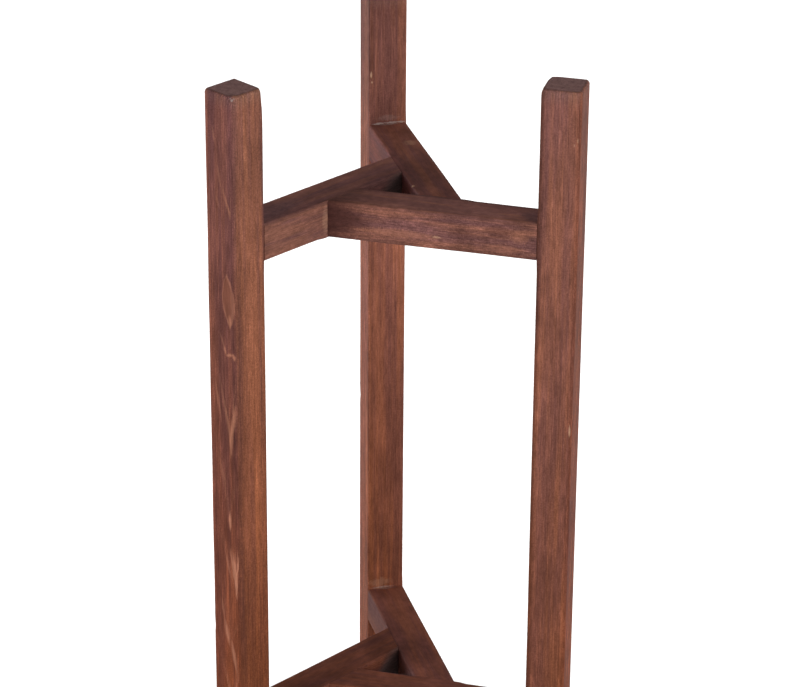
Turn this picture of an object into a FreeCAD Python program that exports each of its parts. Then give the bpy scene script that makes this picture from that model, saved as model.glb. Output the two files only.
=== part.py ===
"""Wooden plant stand: three square legs carry two tiers of rails set as pinwheels.

Each rail runs from a leg past the stand's axis, and its far end, cut at a slant, butts on the side of
the next rail, so a small three-sided hole is left at the axis. All joints are glued on hidden dowels.
Frame: millimetres, +Z up, +X to the right and +Y to the back as seen from the front, with the two
front legs left and right. The origin is on the floor, at the middle of the stand's outline.
"""
import FreeCAD
import Part

import math
import os

# Driving dimensions of the legs
leg_side = 30.0            # square section
leg_round = 2.4            # rounding of the four long edges
leg_end_ease = 1.8         # easing round the top and the foot
leg_circle_radius = 136.6  # from the stand's axis to the middle of each leg
leg_above_rails = 105.5    # reach above the upper rails' tops
leg_below_rails = 105.5    # reach below the lower rails' undersides

# Driving dimensions of the rails
rail_width = 30.0          # across, in plan
rail_height = 29.5
rail_round = 1.6           # rounding of the four long edges
tier_spacing = 412.0       # from one tier's rails to the same face of the next tier's
hub_circle = 24.7          # diameter of the circle that fits between the three rails at the axis

# Driving dimensions of the hidden dowels
dowel_diameter = 8.0
dowel_chamfer = 0.8
dowel_clearance = 0.1      # added to the diameter in the holes
dowel_end_room = 1.0       # room for glue past each end
dowel_hole_in_rail = 21.0  # depth of a hole bored into a rail's end
dowel_backing = 9.0        # wood left behind a hole bored into a leg or a rail's side

# Plan of one arm, drawn with the stand's axis at the origin and its rail running along +X.
# The rail passes the axis on its left, so the hole at the axis lies against the rail's right side.
turn_between_arms = 120.0
hub_radius = hub_circle / 2
rail_right = hub_radius
rail_left = hub_radius + rail_width
rail_middle = hub_radius + rail_width / 2
leg_middle = -math.sqrt(leg_circle_radius**2 - rail_middle**2)
rail_start = leg_middle + leg_side / 2

# The next rail's right side, met by this rail's end, is a line that slants across it.
meeting_sine = math.sin(math.radians(turn_between_arms))
meeting_cosine = math.cos(math.radians(turn_between_arms))


def rail_end(across):
    """Return how far the rail reaches, at a place across it, before the next rail's side."""
    return (hub_radius - meeting_cosine * across) / meeting_sine


# Heights
lower_rail_base = leg_below_rails
upper_rail_base = lower_rail_base + tier_spacing
leg_length = upper_rail_base + rail_height + leg_above_rails
tiers = {"upper": upper_rail_base, "lower": lower_rail_base}

# Arms stand a third of a turn apart, with one leg at the back and two in front.
arm_names = ("back", "left", "right")
back_angle = 90.0
leg_angles = {name: back_angle + turn_between_arms * step for step, name in enumerate(arm_names)}
rail_turn = math.degrees(math.asin(rail_middle / leg_circle_radius))
arm_headings = {name: angle + 180.0 + rail_turn for name, angle in leg_angles.items()}


def axis_place():
    """Return the axis's place, in X and Y, that puts the middle of the outline at the origin."""
    lows = [0.0, 0.0]
    highs = [0.0, 0.0]
    for name, angle in leg_angles.items():
        heading = math.radians(arm_headings[name])
        flat_half = leg_side / 2 - leg_round
        reach = flat_half * (abs(math.cos(heading)) + abs(math.sin(heading))) + leg_round
        middle = (
            leg_circle_radius * math.cos(math.radians(angle)),
            leg_circle_radius * math.sin(math.radians(angle)),
        )
        for side in (0, 1):
            lows[side] = min(lows[side], middle[side] - reach)
            highs[side] = max(highs[side], middle[side] + reach)
    return -(lows[0] + highs[0]) / 2, -(lows[1] + highs[1]) / 2


def placed(shape, name):
    """Return a copy of an arm's piece, turned to its heading and moved to the stand's axis."""
    axis_x, axis_y = axis_place()
    turned = shape.copy()
    turned.rotate(FreeCAD.Vector(0, 0, 0), FreeCAD.Vector(0, 0, 1), arm_headings[name])
    turned.translate(FreeCAD.Vector(axis_x, axis_y, 0))
    return turned


def edges_along(shape, direction):
    """Return the straight edges of a shape that run along a direction."""
    found = []
    for edge in shape.Edges:
        if isinstance(edge.Curve, Part.Line):
            if abs(abs(edge.tangentAt(edge.FirstParameter).dot(direction)) - 1) < 1e-6:
                found.append(edge)
    return found


def edges_at_height(shape, height):
    """Return the edges of a shape that lie wholly at one height."""
    return [e for e in shape.Edges if all(abs(v.Z - height) < 1e-6 for v in e.Vertexes)]


def rod_along_rail(start, end, height, radius):
    """Return a round bar on the rail's middle line, between two places along it."""
    foot = FreeCAD.Vector(start, rail_middle, height)
    return Part.makeCylinder(radius, end - start, foot, FreeCAD.Vector(1, 0, 0))


def leg_dowel_heights(base):
    """Return the heights of a leg joint's two dowels, at the quarter points of the rail's height."""
    return base + rail_height / 4, base + rail_height * 3 / 4


# Spans of the dowel holes along the rail: at the leg, and at the rail's far end
leg_hole_span = (leg_middle - leg_side / 2 + dowel_backing, rail_start + dowel_hole_in_rail)
far_hole_depth = (rail_width - dowel_backing) / meeting_sine
far_hole_span = (rail_end(rail_middle) - dowel_hole_in_rail, rail_end(rail_middle) + far_hole_depth)
hole_radius = (dowel_diameter + dowel_clearance) / 2


def leg_holes(base):
    """Return the bored holes, as solids, of one joint between a leg and a rail."""
    return [rod_along_rail(*leg_hole_span, height, hole_radius) for height in leg_dowel_heights(base)]


def far_hole(base):
    """Return the bored hole, as a solid, at a rail's far end; it runs on into the next rail."""
    return rod_along_rail(*far_hole_span, base + rail_height / 2, hole_radius)


def make_leg():
    """Return a square leg with eased edges and the dowel holes of both tiers."""
    corner = FreeCAD.Vector(leg_middle - leg_side / 2, rail_middle - leg_side / 2, 0)
    leg = Part.makeBox(leg_side, leg_side, leg_length, corner)
    leg = leg.makeFillet(leg_round, edges_along(leg, FreeCAD.Vector(0, 0, 1)))
    for height in (0, leg_length):
        leg = leg.makeFillet(leg_end_ease, edges_at_height(leg, height))
    for base in tiers.values():
        leg = leg.cut(leg_holes(base))
    return leg


def make_rail(base):
    """Return one rail: square at its leg, slanted at its far end, bored for its dowels."""
    outline = [
        FreeCAD.Vector(rail_start, rail_right, base),
        FreeCAD.Vector(rail_end(rail_right), rail_right, base),
        FreeCAD.Vector(rail_end(rail_left), rail_left, base),
        FreeCAD.Vector(rail_start, rail_left, base),
    ]
    plan = Part.Face(Part.makePolygon(outline + outline[:1]))
    rail = plan.extrude(FreeCAD.Vector(0, 0, rail_height))
    rail = rail.makeFillet(rail_round, edges_along(rail, FreeCAD.Vector(1, 0, 0)))
    hole_from_previous = far_hole(base)
    hole_from_previous.rotate(FreeCAD.Vector(0, 0, 0), FreeCAD.Vector(0, 0, 1), turn_between_arms)
    return rail.cut(leg_holes(base) + [far_hole(base), hole_from_previous])


def make_dowel(hole_span, height):
    """Return a dowel with chamfered ends that lies in a hole with room for glue at both ends."""
    start = hole_span[0] + dowel_end_room
    end = hole_span[1] - dowel_end_room
    dowel = rod_along_rail(start, end, height, dowel_diameter / 2)
    rims = [e for e in dowel.Edges if isinstance(e.Curve, Part.Circle)]
    return dowel.makeChamfer(dowel_chamfer, rims)


def make_arm(name):
    """Return the named pieces of one arm: its leg, and each tier's rail and dowels."""
    pieces = {f"leg_{name}": make_leg()}
    for tier, base in tiers.items():
        pair = [make_dowel(leg_hole_span, height) for height in leg_dowel_heights(base)]
        pieces[f"{tier}_rail_{name}"] = make_rail(base)
        pieces[f"{tier}_leg_dowels_{name}"] = Part.makeCompound(pair)
        pieces[f"{tier}_rail_dowel_{name}"] = make_dowel(far_hole_span, base + rail_height / 2)
    return {node: placed(shape, name) for node, shape in pieces.items()}


os.makedirs("parts", exist_ok=True)
for arm in leg_angles:
    for node, shape in make_arm(arm).items():
        shape.exportStep(f"parts/{node}.step")
        box = shape.BoundBox
        print(f"{node}: {len(shape.Solids)} solid(s), {shape.Volume / 1000:.1f} cm3, "
              f"x {box.XMin:.1f} to {box.XMax:.1f}, y {box.YMin:.1f} to {box.YMax:.1f}, "
              f"z {box.ZMin:.1f} to {box.ZMax:.1f}")
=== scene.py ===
import math

import bpy
import numpy as np
from mathutils import Matrix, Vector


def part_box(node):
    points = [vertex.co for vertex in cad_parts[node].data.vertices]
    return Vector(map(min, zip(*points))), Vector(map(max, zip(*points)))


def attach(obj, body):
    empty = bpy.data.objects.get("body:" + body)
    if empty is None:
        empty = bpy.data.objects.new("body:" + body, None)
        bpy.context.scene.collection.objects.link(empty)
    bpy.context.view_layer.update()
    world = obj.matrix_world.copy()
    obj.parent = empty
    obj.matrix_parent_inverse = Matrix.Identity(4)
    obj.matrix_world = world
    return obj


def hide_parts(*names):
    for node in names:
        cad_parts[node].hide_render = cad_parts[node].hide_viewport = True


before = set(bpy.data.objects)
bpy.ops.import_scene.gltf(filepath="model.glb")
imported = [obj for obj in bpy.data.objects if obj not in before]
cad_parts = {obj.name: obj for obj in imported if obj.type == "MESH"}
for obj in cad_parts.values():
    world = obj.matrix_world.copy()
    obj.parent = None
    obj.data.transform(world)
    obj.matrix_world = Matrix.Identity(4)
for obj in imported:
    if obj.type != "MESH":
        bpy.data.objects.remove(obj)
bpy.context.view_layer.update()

# Legs
# Three square softwood legs, planed, with hand-sanded arrises and eased ends. They were stained reddish
# walnut, which soaks into the soft early wood and leaves the hard late wood paler, and sealed with a satin
# varnish. They stand a third of a turn apart round the stand's axis, each turned to face along its rails.
arms = ("back", "left", "right")

# Sizes are in metres. The hub circle is the one round the axis that every rail's side touches, by its
# diameter. A bar's corners are numbered from 0, with x and y both positive, on by quarter turns to the left.
# On a leg x points along its rails and y to the left of them.
hub_circle = 0.0247
leg_side = 0.030
leg_round = (0.0024, 0.0030)
odd_arrises = {"left": {3: (0.0012, 0.0016)}, "right": {1: (0.0036, 0.0046)}, "back": {}}
leg_shortfall = {"back": 0.0, "left": 0.0, "right": 0.0012}
leg_ease = 0.0036
leg_joint = dict(corners=[0, 3], round=0.0012, fade=0.010)
least_round = 0.00015
hollow_depth = 0.00012
station_step = 0.0020
sanding_rates = (12, 70)
sanding_waves = 3
planing_rates = (15, 45)
end_ring_shares = (0.05, 0.50, 0.95)
leg_boxes = {arm: np.array(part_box(f"leg_{arm}")) for arm in arms}
leg_middles = {arm: box.mean(axis=0) for arm, box in leg_boxes.items()}
leg_height = leg_boxes["left"][1, 2] - leg_boxes["left"][0, 2]
stand_axis = np.mean([middle[:2] for middle in leg_middles.values()], axis=0)
leg_circle = np.linalg.norm(leg_middles["left"][:2] - stand_axis)
rail_offset = (hub_circle + leg_side) / 2


def arm_heading(arm):
    """Direction of an arm's rails in plan: from the leg to the axis, turned left to pass it by the offset."""
    inward = stand_axis - leg_middles[arm][:2]
    return math.atan2(inward[1], inward[0]) + math.asin(rail_offset / leg_circle)


def heading_axes(arm):
    """Unit vectors of an arm: along its rails, to the left of them, and up."""
    turn = arm_heading(arm)
    along = np.array([math.cos(turn), math.sin(turn), 0.0])
    left = np.array([-math.sin(turn), math.cos(turn), 0.0])
    return along, left, np.array([0.0, 0.0, 1.0])


def bar_outline(arc_steps=6, flat_steps=12):
    """Outline of an eased bar once round: corner number, share of the corner's centre, outward normal.

    Corner k's arc keeps the number k while its normal turns a quarter turn. The flat after it keeps its
    normal while the number slides on to the next corner's, in steps that are closer near both ends. The
    shares are the corners' signs, so that they run straight from one corner to the next.
    """
    corner = np.arange(4.0)[:, None]
    quarter = math.pi / 2
    slide = (1 - np.cos(np.linspace(0, math.pi, flat_steps + 1)[1:-1])) / 2
    number = np.hstack([corner + np.zeros(arc_steps + 1), corner + slide]).ravel()
    arc_turn = corner * quarter + np.linspace(0, quarter, arc_steps + 1)
    flat_turn = corner * quarter + np.full(flat_steps - 1, quarter)
    turn = np.hstack([arc_turn, flat_turn]).ravel()
    share = np.stack([np.interp(number, range(5), signs) for signs in ((1, -1, -1, 1, 1), (1, 1, -1, -1, 1))])
    return number, share.T, np.stack([np.cos(turn), np.sin(turn)], axis=1)


def bar_stations(length, ease, step, arc_steps=8):
    """Places along a bar and the inset there: a quarter circle at each end, even steps between them."""
    turn = np.linspace(0, math.pi / 2, arc_steps + 1)
    along = ease * (1 - np.cos(turn))
    inset = ease * (1 - np.sin(turn))
    between = np.linspace(ease, length - ease, int(length / step))[1:-1]
    places = np.concatenate([along, between, (length - along)[::-1]])
    return places, np.concatenate([inset, np.zeros(len(between)), inset[::-1]])


def sanded_rounding(places, number, limits, odd, seed, joint, spans):
    """Rounding of the arrises by station and outline step: slow seeded waves per arris, blended over flats.

    An odd arris has its own limits. Along the spans where another bar is joined on, the arrises at the
    joint's corners are sanded flush with it and stay sharper, fading to the usual rounding past both ends.
    """
    rng = np.random.default_rng(seed)
    rate = rng.uniform(*sanding_rates, (sanding_waves, 4))
    phase = rng.uniform(0, 2 * math.pi, (sanding_waves, 4))
    waves = np.sin(places[:, None, None] * rate + phase).mean(axis=1)
    least, most = np.array([odd.get(corner, limits) for corner in range(4)]).T
    arris = least + (most - least) * (0.5 + 0.5 * waves)
    for low, high in spans:
        within = np.clip(np.minimum(places - low, high - places) / joint["fade"] + 1, 0, 1)[:, None]
        arris[:, joint["corners"]] = arris[:, joint["corners"]] * (1 - within) + joint["round"] * within
    arris = np.hstack([arris, arris[:, :1]])
    before = np.floor(number).astype(int)
    part_way = number - before
    return arris[:, before] * (1 - part_way) + arris[:, before + 1] * part_way


def planed_hollow(places, number, depth, seed):
    """Depth that planing took off: two slow seeded waves along the bar, out of step from face to face."""
    rng = np.random.default_rng(seed)
    rate = rng.uniform(*planing_rates, 2)
    phase = rng.uniform(0, 2 * math.pi, 2)
    around = number * math.pi / 2
    wave = np.sin(places[:, None] * rate[0] + around + phase[0])
    wave = wave + np.sin(places[:, None] * rate[1] - 2 * around + phase[1])
    return depth * (0.5 + 0.25 * wave)


def knock_depth(places, number, knocks):
    """Depth of small knocks on the arrises: a bell shape along the bar times one round the outline.

    A knock has its corner, its place along the bar, its reach along it, its width in corner numbers and
    its depth.
    """
    depth = np.zeros((len(places), len(number)))
    for corner, place, reach, width, deep in knocks:
        off_corner = (number - corner + 2) % 4 - 2
        bell = np.exp(-(((places - place) / reach) ** 2))[:, None]
        depth += deep * bell * np.exp(-((off_corner / width) ** 2))
    return depth


def bar_points(halves, length, ease, rounding, seed, knocks=()):
    """Points of a bar in its own frame, on a grid of stations along it and steps round its outline.

    Taken off are the inset at the ends, the planed hollow and the knocks. The rounding that is left is the
    arris's own less what is taken off, but no less than a least one. Across, a point is
    (half side - taken off - rounding left) * share + rounding left * normal.
    """
    places, inset = bar_stations(length, ease, station_step)
    number, share, normal = bar_outline()
    taken = inset[:, None] + planed_hollow(places, number, hollow_depth, seed)
    taken = (taken + knock_depth(places, number, knocks))[..., None]
    rounding = sanded_rounding(places, number, seed=seed, **rounding)[..., None]
    left_round = np.maximum(rounding - taken, least_round)
    across = (np.array(halves) - taken - left_round) * share + left_round * normal
    along = np.broadcast_to(places[:, None, None], across.shape[:2] + (1,))
    return np.concatenate([across, along], axis=2)


def bar_object(name, points):
    """Makes a bar of its grid of points: quads between the stations, and flat ends.

    An end is its own rim three times over, drawn in towards its middle by shares, and a fan of triangles.
    """
    ends = np.stack([points[0].mean(axis=0), points[-1].mean(axis=0)])
    drawn_in = np.array(end_ring_shares)[:, None, None]
    foot_rings = ends[0] + (points[:1] - ends[0]) * drawn_in
    head_rings = ends[1] + (points[-1:] - ends[1]) * drawn_in[::-1]
    points = np.concatenate([foot_rings, points, head_rings])
    stations, steps = points.shape[:2]
    index = np.arange(stations * steps).reshape(stations, steps)
    onward = np.roll(index, -1, axis=1)
    quads = np.stack([index[:-1], onward[:-1], onward[1:], index[1:]], axis=2).reshape(-1, 4)
    first, last = stations * steps, stations * steps + 1
    foot = np.stack([np.full(steps, first), onward[0], index[0]], axis=1)
    head = np.stack([np.full(steps, last), index[-1], onward[-1]], axis=1)
    mesh = bpy.data.meshes.new(name)
    vertices = np.concatenate([points.reshape(-1, 3), ends])
    mesh.from_pydata(vertices.tolist(), [], quads.tolist() + foot.tolist() + head.tolist())
    mesh.shade_smooth()
    piece = bpy.data.objects.new(name, mesh)
    bpy.context.collection.objects.link(piece)
    return piece


class Shading:
    """A new material, with short calls that add shader nodes and wire their inputs."""

    def __init__(self, name):
        self.material = bpy.data.materials.new(name)
        self.material.use_nodes = True
        self.tree = self.material.node_tree
        self.tree.nodes.clear()

    def add(self, kind, inputs, **settings):
        """Adds a node, sets its settings, and sets or links each input by name or number."""
        node = self.tree.nodes.new("ShaderNode" + kind)
        for setting, value in settings.items():
            setattr(node, setting, value)
        for socket, value in inputs.items():
            if isinstance(value, bpy.types.NodeSocket):
                self.tree.links.new(value, node.inputs[socket])
            else:
                node.inputs[socket].default_value = value
        return node

    def math(self, operation, first, second=0.0):
        """One operation on one number or two, such as a sum or a product."""
        return self.add("Math", {0: first, 1: second}, operation=operation).outputs[0]

    def vector(self, operation, first, second):
        """One operation on two vectors."""
        return self.add("VectorMath", {0: first, 1: second}, operation=operation).outputs[0]

    def total(self, *parts):
        """The sum of numbers, each times its own weight."""
        result = 0.0
        for value, weight in parts:
            inputs = {0: value, 1: weight, 2: result}
            result = self.add("Math", inputs, operation="MULTIPLY_ADD").outputs[0]
        return result

    def mix(self, values, weights):
        """The sum of named values, each times the weight of the same name."""
        return self.total(*((values[name], weight) for name, weight in weights.items()))

    def clouds(self, place, rates, detail):
        """Outputs of a soft noise texture, with its cells stretched by rates along x, y and z."""
        spot = self.vector("MULTIPLY", place, rates)
        return self.add("TexNoise", {"Vector": spot, "Scale": 1.0, "Detail": detail}).outputs

    def noise(self, place, rates, detail):
        """Soft noise about zero, roughly from -0.5 to 0.5."""
        return self.math("SUBTRACT", self.clouds(place, rates, detail)["Fac"], 0.5)

    def drift(self, place, rates, detail):
        """Soft noise as a vector, with each of its parts about zero."""
        return self.vector("SUBTRACT", self.clouds(place, rates, detail)["Color"], (0.5, 0.5, 0.5))

    def ease(self, value, none, whole):
        """A smooth step from 0 where the value is at none to 1 where it is at whole, up or down."""
        inputs = {"Value": value, "From Min": none, "From Max": whole}
        return self.add("MapRange", inputs, interpolation_type="SMOOTHSTEP").outputs["Result"]

    def span(self, share, low, high):
        """A number that runs straight from low, where the share is 0, to high, where it is 1."""
        inputs = {"Value": share, "To Min": low, "To Max": high}
        return self.add("MapRange", inputs).outputs["Result"]

    def curve(self, share, path, reach=100.0):
        """A smooth curve through points of (share, value), with each value within a reach of zero."""
        node = self.tree.nodes.new("ShaderNodeFloatCurve")
        self.tree.links.new(share, node.inputs["Value"])
        node.mapping.clip_min_y = -1.0
        points = node.mapping.curves[0].points
        while len(points) < len(path):
            points.new(0.5, 0.5)
        for point, (spot, value) in zip(points, path):
            point.location = (spot, value / reach)
        node.mapping.update()
        return self.math("MULTIPLY", node.outputs[0], reach)

    def scale(self, colour, factor):
        """A colour times a number."""
        return self.add("VectorMath", {0: colour, "Scale": factor}, operation="SCALE").outputs[0]

    def blend(self, share, first, second, blend_type="MIX"):
        """A mix of two colours."""
        inputs = {0: share, 6: first, 7: second}
        return self.add("Mix", inputs, data_type="RGBA", blend_type=blend_type).outputs[2]


early_wood = (0.190, 0.064, 0.043, 1.0)
late_wood = (0.500, 0.205, 0.125, 1.0)
# Pale bare wood for specks and rubs, also a painted highlight in the corner of the upper left rail.
bare_wood_and_highlight = (0.580, 0.330, 0.210, 1.0)
glue = (0.480, 0.390, 0.355, 1.0)
# Dark soaked wood; the same colour is painted shade at the far end of the upper right rail.
soaked_wood_and_shade = (0.090, 0.034, 0.028, 1.0)
knot_wood = (0.198, 0.071, 0.046, 1.0)
# Painted shade for the walls of the three-sided hole at the axis, where shade falls.
painted_hole_shade = (0.113, 0.078, 0.075, 1.0)
# Greyish painted shade, for the rail tops beside the legs and the back rails' hole walls.
painted_grey_shade = (0.200, 0.098, 0.096, 1.0)
end_wood = (0.295, 0.165, 0.152, 1.0)
worn_end = (1.06, 1.22, 1.27, 1.0)
purple_stain = (0.90, 0.93, 1.06, 1.0)
orange_stain = (1.09, 1.07, 0.92, 1.0)

# On the wood, places and sizes are in millimetres from the bar's middle, with z along the grain.
to_mm = 1000.0
per_cent = 100.0
outer_face = -15.0
streak_sink = 3.0


def patch(centre, size, paint, strength, tear=1.0, core=0.3, lean=0.0):
    """A mark on the wood, of half sizes round its centre, torn at its edge, leaning by degrees about x.

    It is a lens, pointed at both ends along the grain: its size across plus the square of that along it.
    """
    return dict(centre=centre, size=size, paint=paint, strength=strength, tear=tear, core=core, lean=lean)


def streak(start, end, width, strength):
    """A thin mark of late wood on the outer face, between two places (y, z), leaning along their line."""
    run = end[0] - start[0]
    rise = end[1] - start[1]
    centre = (outer_face, (start[0] + end[0]) / 2, (start[1] + end[1]) / 2)
    size = (streak_sink, width, math.hypot(run, rise) / 2)
    lean = -math.degrees(math.atan2(run, rise))
    return patch(centre, size, late_wood, strength, core=0.0, lean=lean)


def arch(tip, slopes, reach, fill, height, strength):
    """A pointed arch of late wood, tip down, on the outer face.

    Its left and right arms climb from the tip, a place (y, z), at their own slopes. It ends sharply above
    them, is pale for a share of its reach below them, fades out over the rest, and fades at a height above
    the tip.
    """
    shape = dict(tip=(outer_face, *tip), slopes=slopes, reach=reach, fill=fill, height=height)
    return dict(shape, strength=strength)


def by_face(wood, across_x, pair):
    """The first of two numbers on the faces across x, the second on the faces across y."""
    return wood.span(across_x, pair[1], pair[0])


bend_rates = (0.060, 0.060, 0.016)
bend_detail = 2.0
ring_flare = 0.52
flare_power = 0.7
late_ramp = (0.60, 0.96)
late_stop = (1.0, 0.965)
faintest_year = 0.6
far_and_near = (15.0, 5.0)
far_strength = 0.25


def late_share(wood, place, shifted, rise, across_x, board):
    """Share of pale late wood.

    The rings go round the board's own pith line, which wanders beside the bar, and come to a point on each
    side of it: a ring's size is the larger offset from the pith plus a flare times the smaller one to a
    power. Each ring goes from dark early wood to pale late wood and ends sharply, so a face that the rings
    only graze shows pointed arches. The share is the year's own strength, times the board's contrast on that
    face, times its figure along the bar, and less far out from the pith.
    """
    wander = (board["wander"], board["wander"], 0.0)
    bend = wood.vector("MULTIPLY", wood.drift(shifted, bend_rates, bend_detail), wander)
    pith = {0: wood.curve(rise, board["pith_x"]), 1: wood.curve(rise, board["pith_y"])}
    pith = wood.add("CombineXYZ", pith).outputs[0]
    from_pith = wood.vector("ADD", wood.vector("SUBTRACT", place, pith), bend)
    off_x, off_y, _ = wood.add("SeparateXYZ", {0: from_pith}).outputs
    off_x = wood.math("ABSOLUTE", off_x)
    off_y = wood.math("ABSOLUTE", off_y)
    flare = wood.math("POWER", wood.math("MINIMUM", off_x, off_y), flare_power)
    radius = wood.total((wood.math("MAXIMUM", off_x, off_y), 1.0), (flare, ring_flare))
    rings = wood.math("DIVIDE", radius, board["ring"])
    phase = wood.math("FRACT", rings)
    late = wood.math("MULTIPLY", wood.ease(phase, *late_ramp), wood.ease(phase, *late_stop))
    year = wood.math("ADD", wood.math("FLOOR", rings), board["sample"][0])
    year = wood.add("TexWhiteNoise", {"W": year}, noise_dimensions="1D").outputs["Value"]
    late = wood.math("MULTIPLY", late, wood.span(year, faintest_year, 1.0))
    late = wood.math("MULTIPLY", late, by_face(wood, across_x, board["contrast"]))
    near = wood.ease(by_face(wood, across_x, (off_y, off_x)), *far_and_near)
    late = wood.math("MULTIPLY", late, wood.span(near, far_strength, 1.0))
    return wood.math("MULTIPLY", late, wood.math("DIVIDE", wood.curve(rise, board["figure"]), per_cent))


# Each noise has its cells per millimetre across the grain twice and along it, and its detail.
grain_noises = {
    "fibre": ((1.5, 1.5, 0.012), 3.0),
    "fleck": ((1.1, 1.1, 0.080), 3.0),
    "grit": ((1.3, 1.3, 1.1), 2.0),
    "thread": ((0.36, 0.36, 0.0080), 2.0),
    "mottle": ((0.24, 0.24, 0.045), 2.0),
    "blotch": ((0.050, 0.050, 0.014), 2.0),
    "band": ((0.085, 0.085, 0.0030), 1.0),
}
uneven_mix = dict(fibre=0.80, fleck=0.80, grit=0.95, thread=0.45)
patchy_mix = dict(mottle=0.75, blotch=1.00, band=0.60)
arris_band = (1.5, 5.5)


def arris_shade_and_highlight(wood, x, y, shares):
    """Painted shade and highlight at the arrises, with some wear, for each corner in turn, running out to 1
    over a band.

    How far a place is from the nearest arris is the side of the bar less the place's offsets in x and y.
    """
    from_arris = wood.math("ADD", wood.math("ABSOLUTE", x), wood.math("ABSOLUTE", y))
    from_arris = wood.math("SUBTRACT", leg_side * to_mm, from_arris)
    beyond_x = wood.math("GREATER_THAN", x, 0.0)
    beyond_y = wood.math("GREATER_THAN", y, 0.0)
    left_share = wood.span(beyond_x, shares[1], shares[0])
    right_share = wood.span(beyond_x, shares[2], shares[3])
    share = wood.span(beyond_y, right_share, left_share)
    return wood.span(wood.ease(from_arris, *arris_band), share, 1.0)


def stain_depth(wood, noises, place, rise, across_x, board):
    """Factor on the colour by how the wood took the stain.

    It is e to the power of the uneven noises plus the patchy ones, each as strong as the board has them on
    that face, times the face's own depth along the bar, times the arrises' painted shade and painted
    highlight.
    """
    x, y, _ = wood.add("SeparateXYZ", {0: place}).outputs
    uneven = wood.math("MULTIPLY", wood.mix(noises, uneven_mix), by_face(wood, across_x, board["uneven"]))
    patchy = wood.math("MULTIPLY", wood.mix(noises, patchy_mix), by_face(wood, across_x, board["patchy"]))
    depth = (wood.curve(rise, board["depth_x"]), wood.curve(rise, board["depth_y"]))
    depth = wood.math("DIVIDE", by_face(wood, across_x, depth), per_cent)
    factor = wood.math("MULTIPLY", wood.math("EXPONENT", wood.math("ADD", uneven, patchy)), depth)
    return wood.math("MULTIPLY", factor, arris_shade_and_highlight(wood, x, y, board["arris"]))


worn_reach = (14.0, 1.0)
end_reach = (0.9, 0.2)
end_cover = 0.92
border_outside = (0.03, 0.35)
border_inside = (1.5, 0.6)
end_border = 0.62


def with_ends(wood, colour, grain, z, length):
    """A bar's colour with its ends: worn wood beside the darker end grain, and a dark line round that.

    Each follows from how far the nearer end is: half the length less the place along the bar.
    """
    to_end = wood.math("SUBTRACT", length * to_mm / 2, wood.math("ABSOLUTE", z))
    worn = wood.blend(1.0, colour, worn_end, "MULTIPLY")
    colour = wood.blend(wood.ease(to_end, *worn_reach), colour, worn)
    end_share = wood.math("MULTIPLY", wood.ease(to_end, *end_reach), end_cover)
    colour = wood.blend(end_share, colour, wood.scale(end_wood[:3], grain))
    border = wood.math("MULTIPLY", wood.ease(to_end, *border_outside), wood.ease(to_end, *border_inside))
    return wood.scale(colour, wood.span(border, 1.0, end_border))


outer_face_reach = (-10.0, -13.0)
arch_tear = 2.0
arch_edge = 3.0
arch_fade = 0.2


def with_arches(wood, colour, grain, place, ragged, arches):
    """A colour with arches of late wood over it, on the outer face.

    How far a place is above an arch's arms is its height over the tip less the arm's slope times how far it
    is to that side of the tip.
    """
    on_outer_face = wood.ease(wood.add("SeparateXYZ", {0: place}).outputs[0], *outer_face_reach)
    paint = wood.scale(late_wood[:3], grain)
    torn = wood.vector("ADD", place, wood.scale(ragged, arch_tear))
    for mark in arches:
        _, beside, above = wood.add("SeparateXYZ", {0: wood.vector("SUBTRACT", torn, mark["tip"])}).outputs
        left_arm = wood.math("MULTIPLY", wood.math("MAXIMUM", beside, 0.0), -mark["slopes"][0])
        right_arm = wood.math("MULTIPLY", wood.math("MINIMUM", beside, 0.0), mark["slopes"][1])
        above_arms = wood.math("ADD", above, wood.math("ADD", left_arm, right_arm))
        pale = wood.ease(above_arms, -mark["reach"], -mark["reach"] * mark["fill"])
        pale = wood.math("MULTIPLY", pale, wood.ease(above_arms, arch_edge, 0.0))
        pale = wood.math("MULTIPLY", pale, wood.ease(above, mark["height"], mark["height"] * arch_fade))
        pale = wood.math("MULTIPLY", pale, on_outer_face)
        colour = wood.blend(wood.math("MULTIPLY", pale, mark["strength"]), colour, paint)
    return colour


def with_marks(wood, colour, grain, place, ragged, marks):
    """A colour with marks over it, each a lens that is full inside its core and fades out to its edge."""
    for mark in marks:
        torn = wood.vector("ADD", place, wood.scale(ragged, mark["tear"]))
        lean = (math.radians(mark["lean"]), 0.0, 0.0)
        lens = {"Vector": torn, "Location": mark["centre"], "Rotation": lean, "Scale": mark["size"]}
        lens = wood.add("Mapping", lens, vector_type="TEXTURE").outputs[0]
        along = wood.add("SeparateXYZ", {0: lens}).outputs[2]
        across = wood.vector("MULTIPLY", lens, (1.0, 1.0, 0.0))
        across = wood.add("VectorMath", {0: across}, operation="LENGTH").outputs["Value"]
        within = wood.math("ADD", across, wood.math("MULTIPLY", along, along))
        within = wood.math("MULTIPLY", wood.ease(within, 1.0, mark["core"]), mark["strength"])
        colour = wood.blend(within, colour, wood.scale(mark["paint"][:3], grain))
    return colour


hue_mix = dict(band=1.0, thread=0.7)
hue_range = (-0.22, 0.22)
end_mix = dict(fleck=0.9, grit=0.5, mottle=0.9)
tear_rates = (0.5, 0.5, 0.25)
tear_detail = 3.0
rough_mix = dict(fibre=0.25, late=-0.06)
wood_rough = 0.62
raised_mix = dict(late=0.6, fibre=1.2, fleck=0.6)
raised_height = dict(Strength=0.30, Distance=0.0002)
wood_specular = 0.04


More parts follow.
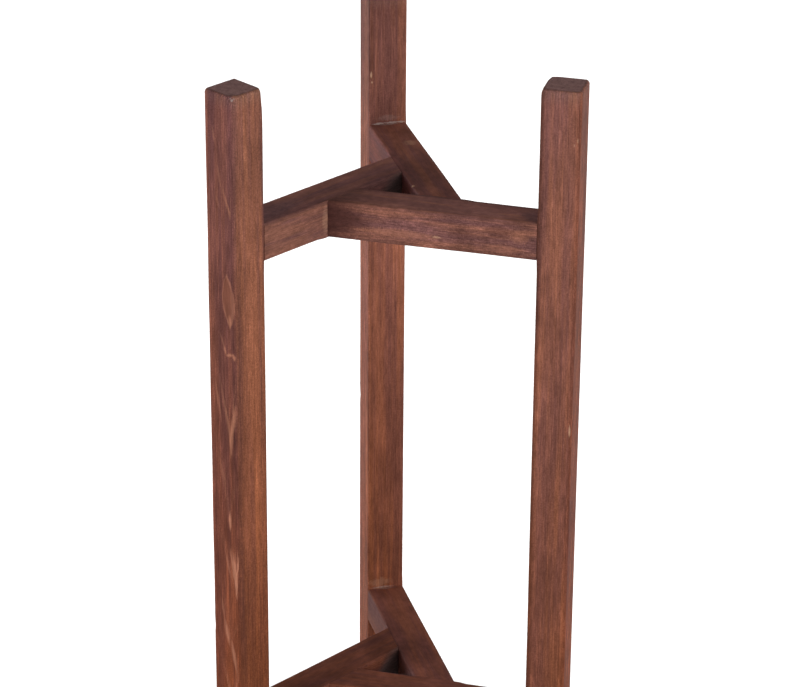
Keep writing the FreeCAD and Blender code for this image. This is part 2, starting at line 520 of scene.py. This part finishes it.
def stained_softwood(name, middle, turn, length, board):
    """Material of one stained bar.

    The early wood's colour is made more purple or more orange by the bands and threads and has its own tone
    along the bar, which on the legs is greyer towards the top, partly as painted sheen. It is blended into
    the late wood by the share of that, times the depth of the stain with the arrises' painted shade and
    highlight, times the face's own tone, which carries painted sheen and painted shade besides the wood's
    tone. A face across x turns into one across y over a width at the arrises. The ends, the board's own
    arches and its marks lie over all. Fibres, flecks and late wood stand a little proud.
    """
    wood = Shading(name)
    source = wood.add("TexCoord", {}).outputs["Object"]
    placing = {"Vector": source, "Location": middle, "Rotation": turn, "Scale": (1 / to_mm,) * 3}
    place = wood.add("Mapping", placing, vector_type="TEXTURE").outputs[0]
    x, y, z = wood.add("SeparateXYZ", {0: place}).outputs
    rise = wood.math("ADD", wood.math("DIVIDE", z, length * to_mm), 0.5)
    across_x = wood.math("SUBTRACT", wood.math("ABSOLUTE", x), wood.math("ABSOLUTE", y))
    across_x = wood.ease(across_x, -board["turn"], board["turn"])
    shifted = wood.vector("MULTIPLY", place, (1.0, 1.0, board["closeness"]))
    shifted = wood.vector("ADD", shifted, board["sample"])

    late = late_share(wood, place, shifted, rise, across_x, board)
    noises = {kind: wood.noise(shifted, *rates) for kind, rates in grain_noises.items()}
    hue = wood.ease(wood.mix(noises, hue_mix), *hue_range)
    hue = wood.blend(hue, purple_stain, orange_stain)
    # Tone along the bar: on the legs greyer towards the top, partly as painted sheen.
    tone = wood.blend(wood.ease(rise, 0.0, 1.0), (*board["start"], 1.0), (*board["finish"], 1.0))
    early = wood.blend(1.0, wood.blend(1.0, early_wood, hue, "MULTIPLY"), tone, "MULTIPLY")
    depth = stain_depth(wood, noises, place, rise, across_x, board)
    colour = wood.scale(wood.blend(late, early, late_wood), depth)
    # Face tones: the wood's own tone with painted sheen and painted shade, face by face.
    face = wood.blend(across_x, (*board["tone_and_light_y"], 1.0), (*board["tone_and_light_x"], 1.0))
    colour = wood.blend(1.0, colour, face, "MULTIPLY")

    grain = wood.math("ADD", wood.mix(noises, end_mix), 1.0)
    ragged = wood.drift(shifted, tear_rates, tear_detail)
    colour = with_ends(wood, colour, grain, z, length)
    colour = with_arches(wood, colour, grain, place, ragged, board["arches"])
    colour = with_marks(wood, colour, grain, place, ragged, board["marks"])

    parts = dict(noises, late=late)
    rough = wood.math("ADD", wood.mix(parts, rough_mix), wood_rough)
    bump = wood.add("Bump", {"Height": wood.mix(parts, raised_mix), **raised_height}).outputs[0]
    surface = {"Base Color": colour, "Roughness": rough, "Normal": bump, "Specular IOR Level": wood_specular}
    surface = wood.add("BsdfPrincipled", surface).outputs[0]
    wood.add("OutputMaterial", {"Surface": surface})
    return wood.material


# A board has its pith line, figure and depths as points of (share of the way along the grain, value), the
# pith in millimetres and the others in per cent; its rings' width and wander in millimetres; pairs for the
# faces across x and across y; factors of painted shade and painted highlight at its arrises, with some wear,
# corner by corner, and half the width over which one face turns into the next; tones of its faces, which
# carry painted sheen and painted shade besides the wood's own tone, and of its start and its finish, where
# the legs' greyer tops are partly painted sheen; and where and how closely its noises are sampled.
even = (1.0, 1.0, 1.0)
full = [(0.0, 100.0), (1.0, 100.0)]
leg_boards = {
    "left": dict(
        pith_x=[(0.0, 39.0), (0.132, 34.0), (0.209, 30.5), (0.306, 27.0), (0.373, 23.5), (0.466, 20.0),
                (0.564, 16.5), (0.688, 13.0), (0.861, 9.5), (1.0, 6.0)],
        pith_y=[(0.0, -8.0), (0.20, -8.0), (0.306, -4.5), (0.373, -10.7), (0.466, -5.5), (0.564, -7.4),
                (0.688, -10.9), (0.861, -12.4), (1.0, -13.0)],
        figure=[(0.0, 60.0), (0.20, 60.0), (0.25, 40.0), (0.30, 12.0), (0.57, 20.0), (0.67, 8.0), (1.0, 5.0)],
        ring=3.5, wander=1.2, contrast=(1.0, 0.06), closeness=1.0, uneven=(1.65, 1.4), patchy=(0.9, 0.8),
        sample=(11.0, 3.0, 40.0), arris=(0.85, 1.10, 0.92, 0.88), turn=2.5, tone_and_light_x=(1.00, 0.97, 0.97),
        tone_and_light_y=(1.54, 1.58, 1.32), start=(1.00, 0.79, 0.47), finish=(1.00, 1.13, 1.38),
        depth_x=[(0.0, 100.0), (0.37, 98.0), (0.57, 92.0), (0.78, 95.0), (1.0, 103.0)],
        depth_y=[(0.0, 78.0), (0.25, 80.0), (0.45, 97.0), (0.80, 97.0), (1.0, 93.0)],
        marks=[
            patch((-11.0, -16.0, 60.0), (6.5, 5.0, 230.0), soaked_wood_and_shade, 0.38, tear=4.0, core=0.2),
            patch((-10.0, -16.5, -85.0), (7.0, 5.5, 110.0), soaked_wood_and_shade, 0.42, tear=4.0, core=0.2),
            patch((-13.0, -13.0, 323.2), (1.5, 1.5, 1.3), glue, 0.7, tear=0.6),
            streak((7.0, 302.0), (3.0, 284.0), 2.0, 0.25),
            streak((2.0, 274.0), (-2.5, 251.0), 2.0, 0.30),
            streak((5.0, 250.0), (-1.0, 235.0), 2.0, 0.22),
            patch((-15.0, -8.4, 206.0), (3.0, 3.0, 10.0), soaked_wood_and_shade, 0.50, tear=2.5),
            patch((-15.0, -7.9, 166.5), (3.0, 7.2, 23.0), late_wood, 0.45, tear=1.6, core=0.80, lean=-4.0),
            patch((-15.0, -7.0, 168.0), (3.0, 5.8, 19.5), knot_wood, 0.95, tear=1.6, core=0.70, lean=-4.0),
            streak((-8.4, 158.0), (-9.3, 144.0), 2.6, 0.60),
            streak((-10.6, 178.0), (-11.2, 158.0), 1.8, 0.30),
            streak((3.0, 141.5), (-3.5, 126.5), 2.0, 0.25),
            streak((-1.8, 131.0), (-5.2, 121.0), 2.0, 0.60),
            streak((-3.6, 121.5), (-12.6, 125.5), 2.2, 0.80),
            streak((-11.6, 127.0), (-14.0, 119.5), 2.2, 0.75),
            streak((9.0, 104.0), (1.0, 62.0), 2.2, 0.34),
            streak((-14.4, 90.0), (-8.9, 51.0), 3.0, 0.70),
            streak((-9.6, 74.0), (-7.5, 35.0), 3.0, 0.80),
            streak((-5.8, -3.5), (-5.7, -25.0), 2.4, 1.00),
            streak((-10.2, -35.0), (-12.0, -61.0), 2.0, 0.40),
            streak((0.6, -40.0), (-6.0, -67.0), 1.8, 0.35),
            streak((5.5, -82.0), (2.2, -104.0), 2.2, 0.38),
            streak((3.2, -98.0), (-3.8, -127.0), 3.6, 0.70),
            streak((-4.2, -114.0), (-11.2, -149.0), 3.4, 0.75),
            patch((-13.6, -11.4, 324.4), (1.5, 0.9, 0.8), glue, 0.7, tear=0.5),
            patch((-11.2, -13.8, 324.0), (0.9, 1.5, 0.8), glue, 0.6, tear=0.5),
        ],
        arches=[
            arch((-11.5, 236.5), (2.4, 25.0), 9.0, 0.0, 24.0, 0.60),
            arch((-8.4, 57.0), (4.2, 9.0), 15.0, 0.0, 58.0, 0.50),
            arch((-1.5, 18.0), (2.8, 20.0), 12.0, 0.0, 28.0, 0.22),
            arch((-12.2, -59.0), (5.4, 22.0), 25.0, 0.75, 25.0, 0.92),
        ],
    ),
    "right": dict(
        pith_x=[(0.0, 60.0), (1.0, 66.0)], pith_y=[(0.0, 14.0), (0.5, 20.0), (1.0, 16.0)],
        figure=full, ring=2.8, wander=2.4, contrast=(0.10, 0.12), closeness=1.35, uneven=(2.2, 1.25),
        patchy=(0.9, 0.9), arches=[],
        sample=(57.0, 23.0, 140.0), arris=(0.62, 1.0, 0.80, 0.85), turn=6.0, tone_and_light_x=(0.84, 0.72, 0.62),
        tone_and_light_y=(1.19, 1.27, 1.22), start=(0.97, 0.88, 0.74), finish=(1.05, 1.14, 1.30),
        depth_x=[(0.0, 104.0), (0.5, 112.0), (0.75, 107.0), (1.0, 101.0)],
        depth_y=[(0.0, 94.0), (0.37, 95.0), (0.6, 100.0), (0.85, 100.0), (1.0, 105.0)],
        marks=[
            patch((-13.4, 13.8, 56.6), (1.2, 1.4, 7.0), bare_wood_and_highlight, 1.0, tear=0.6, core=0.0),
            patch((-13.0, 14.2, 288.5), (0.9, 1.5, 2.6), bare_wood_and_highlight, 0.6, tear=0.8, core=0.0),
            patch((-10.8, 15.0, 285.0), (0.8, 1.5, 1.8), bare_wood_and_highlight, 0.4, tear=0.8, core=0.0),
        ],
    ),
    "back": dict(
        pith_x=[(0.0, 8.0), (0.4, 4.0), (1.0, 12.0)], pith_y=[(0.0, 52.0), (1.0, 62.0)],
        figure=full, ring=2.8, wander=2.4, contrast=(0.12, 0.08), closeness=1.35, uneven=(1.15, 2.3),
        patchy=(0.8, 0.8), arches=[],
        sample=(83.0, 61.0, 240.0), arris=(1.20, 0.85, 0.80, 0.80), turn=1.2, tone_and_light_x=(1.82, 1.90, 1.68),
        tone_and_light_y=(1.55, 1.60, 1.50), start=(0.9, 0.79, 0.65), finish=(0.95, 1.02, 1.22),
        depth_x=[(0.0, 66.0), (0.3, 72.0), (0.5, 82.0), (0.68, 100.0), (0.78, 93.0), (0.84, 62.0),
                 (0.88, 70.0), (1.0, 68.0)],
        depth_y=[(0.0, 92.0), (0.7, 100.0), (0.85, 80.0), (1.0, 70.0)],
        marks=[
            patch((14.5, -13.4, 262.4), (2.0, 1.0, 3.6), bare_wood_and_highlight, 0.8, tear=0.8),
            patch((14.5, -12.9, 256.2), (2.0, 0.9, 1.4), bare_wood_and_highlight, 0.8, tear=0.8),
            patch((15.0, 7.0, 64.5), (2.0, 1.0, 6.5), soaked_wood_and_shade, 0.45, tear=1.0),
            patch((15.0, -7.5, 221.5), (2.0, 7.0, 1.1), glue, 0.60, tear=1.6),
            patch((15.0, 3.0, 221.7), (2.0, 8.0, 1.2), glue, 0.50, tear=1.6),
            patch((15.0, 10.5, 221.6), (2.0, 5.0, 1.0), glue, 0.45, tear=1.6),
            patch((15.0, 0.0, 226.0), (2.0, 13.0, 3.0), glue, 0.10, tear=4.0),
            # A pale smear just above the lower rails.
            patch((15.0, -5.0, -185.5), (2.0, 13.0, 6.0), bare_wood_and_highlight, 0.22, tear=5.0),
            patch((15.0, -3.0, -190.4), (2.0, 12.0, 1.2), glue, 0.32, tear=1.6),
        ],
    ),
}
leg_knocks = {
    "left": [
        (2, leg_height, 0.0045, 0.10, 0.0024),
        (3, leg_height, 0.0140, 0.05, 0.0012),
        (1, 0.214, 0.0040, 0.05, 0.0003),
    ],
    "right": [
        (1, 0.388, 0.0030, 0.05, 0.0004),
        (3, leg_height, 0.0045, 0.12, 0.0012),
        (0, leg_height, 0.0045, 0.12, 0.0007),
    ],
    "back": [(2, 0.302, 0.0040, 0.05, 0.0003)],
}
leg_seeds = {"back": 3, "left": 5, "right": 8}
leg_spans = [(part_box(node)[0].z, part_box(node)[1].z) for node in ("lower_rail_left", "upper_rail_left")]
for arm in arms:
    along, left, up = heading_axes(arm)
    halves = (leg_side / 2, leg_side / 2)
    length = leg_height - leg_shortfall[arm]
    rounding = dict(limits=leg_round, odd=odd_arrises[arm], joint=leg_joint, spans=leg_spans)
    grid = bar_points(halves, length, leg_ease, rounding, leg_seeds[arm], leg_knocks[arm])
    foot = leg_middles[arm] - up * leg_height / 2
    leg = bar_object(f"wooden_leg_{arm}", foot + grid @ np.stack([along, left, up]))
    turn = (0.0, 0.0, arm_heading(arm))
    middle = leg_middles[arm] - up * leg_shortfall[arm] / 2
    leg.data.materials.append(stained_softwood(f"stained leg {arm}", middle, turn, length, leg_boards[arm]))
    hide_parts(f"leg_{arm}")
    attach(leg, "root")

# Rails
# Six rails of the same stained softwood, three to a tier. Each is cut square where it butts on its leg and
# at a slant where it butts on the side of the next rail, so that a three-sided hole is left at the axis.
rail_round = (0.0016, 0.0024)
rail_ease = 0.00025

# A rail's mesh has x to its left and y up, so another rail butts on between its corners 1 and 2. Its wood
# has x down and y to its left. The grain is taken to run on past both ends, which are hidden in the joints.
rail_joint = dict(corners=[1, 2], round=0.0003, fade=0.006)
meeting_turn = math.radians(60)
slant = 1 / math.tan(meeting_turn)
rail_start = leg_side / 2 - math.sqrt(leg_circle**2 - rail_offset**2)
rail_end = hub_circle / 2 / math.sin(meeting_turn) + slant * rail_offset
rail_length = rail_end - rail_start
grain_length = rail_length * 1.5
axis_place = -(rail_start + rail_end) / 2 * to_mm
leg_end = -rail_length / 2 * to_mm
first_rail_seed = 21
# Painted shade on the wall of the hole at the axis, which the meeting rails leave dark.
hole_shade_patch = patch((2.0, -15.0, axis_place + 21.0), (25.0, 4.0, 29.0), painted_hole_shade, 0.90, tear=1.5, core=0.4)
# The back rails' hole walls take the greyish painted shade.
grey_hole_shade_patch = dict(hole_shade_patch, paint=painted_grey_shade)
plain_rail = dict(
    ring=2.8, wander=2.2, contrast=(0.05, 0.08), figure=full, closeness=3.0, uneven=(0.55, 1.2),
    patchy=(0.9, 0.7), arris=(0.9, 1.1, 1.0, 0.9), turn=2.5, tone_and_light_x=even, tone_and_light_y=even, start=even,
    finish=even, depth_x=full, depth_y=full, arches=[], marks=[],
)
rail_boards = {
    "upper_rail_left": dict(
        plain_rail, pith_x=[(0.0, 44.0), (1.0, 40.0)], pith_y=[(0.0, 22.0), (1.0, 26.0)],
        sample=(21.0, 7.0, 340.0), arris=(0.8, 1.15, 0.8, 1.0), tone_and_light_x=(1.17, 1.46, 1.88),
        tone_and_light_y=(1.20, 1.51, 1.80),
        marks=[
            # Painted shade on the hole wall.
            hole_shade_patch,
            # Painted shade on the top beside the left leg.
            patch((-15.0, 0.0, -72.0), (4.0, 22.0, 60.0), painted_grey_shade, 0.85, tear=4.0),
            # A pale band beside the corner where the right rail meets: painted highlight and bare wood.
            patch((0.0, -15.0, -13.5), (16.0, 3.0, 4.5), bare_wood_and_highlight, 0.25, tear=3.0)]),
    "upper_rail_right": dict(
        plain_rail, pith_x=[(0.0, -36.0), (1.0, -40.0)], pith_y=[(0.0, 14.0), (1.0, 10.0)],
        contrast=(0.05, 0.1), closeness=3.6, uneven=(0.55, 1.9), patchy=(0.9, 1.0),
        sample=(31.0, 17.0, 440.0),
        arris=(0.70, 0.85, 0.65, 0.85), tone_and_light_x=(1.62, 1.98, 2.18), tone_and_light_y=(1.08, 1.32, 1.58),
        depth_x=[(0.0, 80.0), (0.18, 84.0), (0.27, 100.0), (0.35, 102.0), (0.6, 92.0), (0.8, 78.0),
                 (1.0, 75.0)],
        marks=[
            patch((5.0, 15.0, 30.0), (4.5, 4.0, 40.0), late_wood, 0.40, tear=6.0),
            patch((-2.0, 15.0, -62.0), (7.0, 4.0, 9.0), late_wood, 0.30, tear=8.0),
            patch((-5.0, 15.0, -46.0), (7.0, 4.0, 13.0), soaked_wood_and_shade, 0.45, tear=6.0),
            patch((8.0, 15.0, -50.0), (5.0, 4.0, 20.0), late_wood, 0.30, tear=6.0),
            patch((0.0, 15.0, -20.0), (9.0, 4.0, 13.0), soaked_wood_and_shade, 0.35, tear=8.0),
            # Painted shade at the far end, in the corner beside the left rail and the left leg.
            patch((-2.0, 13.0, 86.0), (26.0, 26.0, 40.0), soaked_wood_and_shade, 0.90, tear=5.0),
            patch((0.0, 15.0, 84.0), (20.0, 6.0, 9.0), soaked_wood_and_shade, 0.60, tear=3.0),
            # Painted shade on the top beside the right leg.
            patch((-15.0, 2.0, leg_end), (4.0, 16.0, 20.0), painted_grey_shade, 0.80, tear=4.0),
            patch((4.7, 15.0, 0.3), (1.3, 2.0, 4.4), bare_wood_and_highlight, 0.55, tear=1.5)]),
    "upper_rail_back": dict(
        plain_rail, pith_x=[(0.0, 30.0), (1.0, 34.0)], pith_y=[(0.0, -36.0), (1.0, -40.0)],
        sample=(41.0, 27.0, 540.0), arris=(0.85, 1.25, 1.15, 0.85), tone_and_light_x=(1.08, 1.20, 1.36),
        tone_and_light_y=(0.79, 0.77, 1.00),
        depth_x=[(0.0, 110.0), (0.3, 108.0), (0.5, 100.0), (1.0, 98.0)],
        marks=[
            # Painted shade on the hole wall.
            grey_hole_shade_patch,
            patch((-14.75, 0.0, leg_end), (2.0, 14.0, 2.6), glue, 0.45, tear=1.2),
            patch((-14.5, 6.5, -33.0), (2.0, 8.0, 7.0), bare_wood_and_highlight, 0.30, tear=7.0),
            patch((-14.0, -13.5, 49.8), (1.8, 1.8, 2.0), bare_wood_and_highlight, 0.9)]),
    "lower_rail_left": dict(
        plain_rail, pith_x=[(0.0, -40.0), (1.0, -36.0)], pith_y=[(0.0, 20.0), (1.0, 24.0)],
        # Painted shade on the hole wall.
        sample=(51.0, 37.0, 640.0), tone_and_light_x=(0.79, 0.79, 0.79), marks=[hole_shade_patch]),
    "lower_rail_right": dict(
        plain_rail, pith_x=[(0.0, 30.0), (1.0, 26.0)], pith_y=[(0.0, -30.0), (1.0, -34.0)],
        sample=(61.0, 47.0, 740.0)),
    "lower_rail_back": dict(
        plain_rail, pith_x=[(0.0, 34.0), (1.0, 38.0)], pith_y=[(0.0, 26.0), (1.0, 22.0)],
        sample=(71.0, 57.0, 840.0), tone_and_light_x=(1.08, 1.10, 1.13), tone_and_light_y=(0.71, 0.76, 0.86),
        # Painted shade on the hole wall, and a glue line at the leg end.
        marks=[grey_hole_shade_patch, patch((-14.75, 0.0, leg_end), (2.0, 14.0, 2.6), glue, 0.25, tear=1.2)]),
}

# Another rail's slanted end lies on a rail's side, up to half the hole's side short of the axis.
hole_half = hub_circle / 2 * math.tan(meeting_turn)
meeting_end = -rail_start - hole_half
rail_spans = [(meeting_end - leg_side / math.sin(meeting_turn), meeting_end)]


def slanted(grid, length):
    """Slides a bar's points along it: the place to the left times the slant, in full at its far end."""
    slid = grid.copy()
    slid[..., 2] += slant * grid[..., 0] * grid[..., 2] / length
    return slid


for seed, (node, board) in enumerate(rail_boards.items(), start=first_rail_seed):
    arm = node.split("_")[-1]
    along, left, up = heading_axes(arm)
    low, high = np.array(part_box(node))
    halves = (leg_side / 2, (high[2] - low[2]) / 2)
    middle_line = np.array([*stand_axis, (low[2] + high[2]) / 2]) + left * rail_offset
    rounding = dict(limits=rail_round, odd={}, joint=rail_joint, spans=rail_spans)
    grid = slanted(bar_points(halves, rail_length, rail_ease, rounding, seed), rail_length)
    rail = bar_object(f"wooden_{node}", middle_line + along * rail_start + grid @ np.stack([left, up, along]))
    middle = middle_line + along * (rail_start + rail_end) / 2
    turn = (0.0, math.pi / 2, arm_heading(arm))
    name = "stained " + node.replace("_", " ")
    rail.data.materials.append(stained_softwood(name, middle, turn, grain_length, board))
    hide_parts(node)
    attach(rail, "root")

# Dowels
# Plain round hardwood pegs, glued into holes bored in the joints: two between each rail and its leg, one
# where it butts on the next rail. They are left unfinished and lie wholly inside the wood.
dowel_pale = (0.62, 0.43, 0.26, 1.0)
dowel_dark = (0.50, 0.33, 0.19, 1.0)
dowel_rates = (0.6, 0.6, 0.9)
dowel_detail = 3.0
dowel_fleck = (-0.2, 0.2)
dowel_rough = 0.7
dowel_rough_change = 0.2
dowel_raised = dict(Strength=0.2, Distance=0.0001)
peg = Shading("plain dowel wood")
peg_place = peg.vector("MULTIPLY", peg.add("TexCoord", {}).outputs["Object"], (to_mm,) * 3)
peg_fleck = peg.noise(peg_place, dowel_rates, dowel_detail)
peg_colour = peg.blend(peg.ease(peg_fleck, *dowel_fleck), dowel_dark, dowel_pale)
peg_bump = peg.add("Bump", {"Height": peg_fleck, **dowel_raised}).outputs[0]
peg_rough = peg.total((peg_fleck, dowel_rough_change), (1.0, dowel_rough))
peg_surface = {"Base Color": peg_colour, "Roughness": peg_rough, "Normal": peg_bump}
peg.add("OutputMaterial", {"Surface": peg.add("BsdfPrincipled", peg_surface).outputs[0]})
for node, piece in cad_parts.items():
    if "dowel" in node:
        piece.data.materials.clear()
        piece.data.materials.append(peg.material)

# Floor
# A plain white studio floor under the feet, far wider than the view. A lamp above lights it and nothing
# else, so that it looks white and keeps the stand's shadow. It throws little of that light back up.
floor_radius = 30.0
floor_white = (0.94, 0.94, 0.94, 1.0)
floor_bounce = (0.25, 0.25, 0.25, 1.0)
floor_light = 3.0
floor_softness = math.radians(70)
rim_steps = 96
rim_turn = np.linspace(0, 2 * math.pi, rim_steps, endpoint=False)
rim = floor_radius * np.stack([np.cos(rim_turn), np.sin(rim_turn), np.zeros(rim_steps)], axis=1)
floor_mesh = bpy.data.meshes.new("floor")
floor_mesh.from_pydata(rim.tolist(), [], [list(range(rim_steps))])
floor = bpy.data.objects.new("floor", floor_mesh)
bpy.context.collection.objects.link(floor)
ground = Shading("studio floor")
rays = ground.add("LightPath", {}).outputs
seen = ground.math("MAXIMUM", rays["Is Camera Ray"], rays["Is Glossy Ray"])
seen = ground.math("MAXIMUM", seen, rays["Is Transmission Ray"])
matt = ground.add("BsdfDiffuse", {"Color": ground.blend(seen, floor_bounce, floor_white)}).outputs[0]
ground.add("OutputMaterial", {0: matt})
floor.data.materials.append(ground.material)
floor_only = bpy.data.collections.new("lit by the floor lamp")
floor_only.objects.link(floor)
overhead = bpy.data.lights.new("floor lamp", "SUN")
overhead.energy = floor_light
overhead.angle = floor_softness
floor_lamp = bpy.data.objects.new("floor lamp", overhead)
floor_lamp.light_linking.receiver_collection = floor_only
bpy.context.collection.objects.link(floor_lamp)

# Light
# Tall softboxes, with their middles a little above the stand, light its upright faces evenly from the front,
# and from behind for the other views. A pale wall runs low round the studio under a dim ceiling, so the
# tops stay dark.
lamp_aim = 0.40

# A softbox has its azimuth and elevation in degrees, its distance and (width, height) in metres, and its
# power in watts.
softboxes = {
    "key": (214.0, 10.0, 2.6, (0.6, 1.6), 32.0),
    "fill": (312.0, 8.0, 2.6, (1.2, 1.6), 32.0),
    "back left": (130.0, 10.0, 2.6, (1.2, 1.6), 14.0),
    "back right": (40.0, 10.0, 2.6, (1.2, 1.6), 15.0),
}


def softbox(name, azimuth, elevation, distance, size, power):
    """Area lamp that looks at the stand's axis from an azimuth, counted from +X, and an elevation."""
    turn = math.radians(azimuth)
    rise = math.radians(elevation)
    level_way = np.array([math.cos(turn), math.sin(turn), 0.0])
    way = math.cos(rise) * level_way + math.sin(rise) * np.array([0.0, 0.0, 1.0])
    lamp = bpy.data.lights.new(f"softbox {name}", "AREA")
    lamp.shape = "RECTANGLE"
    lamp.size, lamp.size_y = size
    lamp.energy = power
    holder = bpy.data.objects.new(f"softbox {name}", lamp)
    holder.location = np.array([*stand_axis, lamp_aim]) + distance * way
    holder.rotation_euler = (math.pi / 2 - rise, 0.0, turn + math.pi / 2)
    bpy.context.collection.objects.link(holder)


for name, setting in softboxes.items():
    softbox(name, *setting)

wall_level = 0.80
ceiling_level = 0.26
wall_top = 0.08
ceiling_edge = 0.30
studio = bpy.data.worlds.new("studio")
studio.use_nodes = True
sky = studio.node_tree
sky.nodes.clear()
direction = sky.nodes.new("ShaderNodeTexCoord")
height_of = sky.nodes.new("ShaderNodeSeparateXYZ")
sky.links.new(direction.outputs["Generated"], height_of.inputs[0])
level = sky.nodes.new("ShaderNodeMapRange")
level.interpolation_type = "SMOOTHSTEP"
sky.links.new(height_of.outputs["Z"], level.inputs["Value"])
level.inputs["From Min"].default_value = wall_top
level.inputs["From Max"].default_value = ceiling_edge
level.inputs["To Min"].default_value = wall_level
level.inputs["To Max"].default_value = ceiling_level
backdrop = sky.nodes.new("ShaderNodeBackground")
sky.links.new(level.outputs["Result"], backdrop.inputs["Strength"])
sky.links.new(backdrop.outputs[0], sky.nodes.new("ShaderNodeOutputWorld").inputs["Surface"])
bpy.context.scene.world = studio

# Camera
# A long lens in front of the stand, a little to the left, looking down on the upper tier from above. The feet
# and the top of the back leg lie outside its frame.
camera_distance = 2.27595
camera_above_tier = 0.95217
camera_swing = math.radians(-3.489)
camera_pitch = math.radians(25.437)
camera_yaw = math.radians(-0.145)
camera_roll = math.radians(0.409)
sensor_width = 36.0
focal_length = 149.569
upper_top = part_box("upper_rail_left")[1].z
camera_data = bpy.data.cameras.new("camera")
camera_data.sensor_width = sensor_width
camera_data.lens = focal_length
camera = bpy.data.objects.new("camera", camera_data)
camera.location = (
    stand_axis[0] + math.sin(camera_swing) * camera_distance,
    stand_axis[1] - math.cos(camera_swing) * camera_distance,
    upper_top + camera_above_tier,
)
camera_turn = (
    Matrix.Rotation(camera_swing + camera_yaw, 3, "Z")
    @ Matrix.Rotation(math.pi / 2 - camera_pitch, 3, "X")
    @ Matrix.Rotation(camera_roll, 3, "Z")
)
camera.rotation_euler = camera_turn.to_euler()
bpy.context.collection.objects.link(camera)
bpy.context.scene.camera = camera
bpy.context.scene.view_settings.view_transform = "Standard"

bpy.context.view_layer.update()
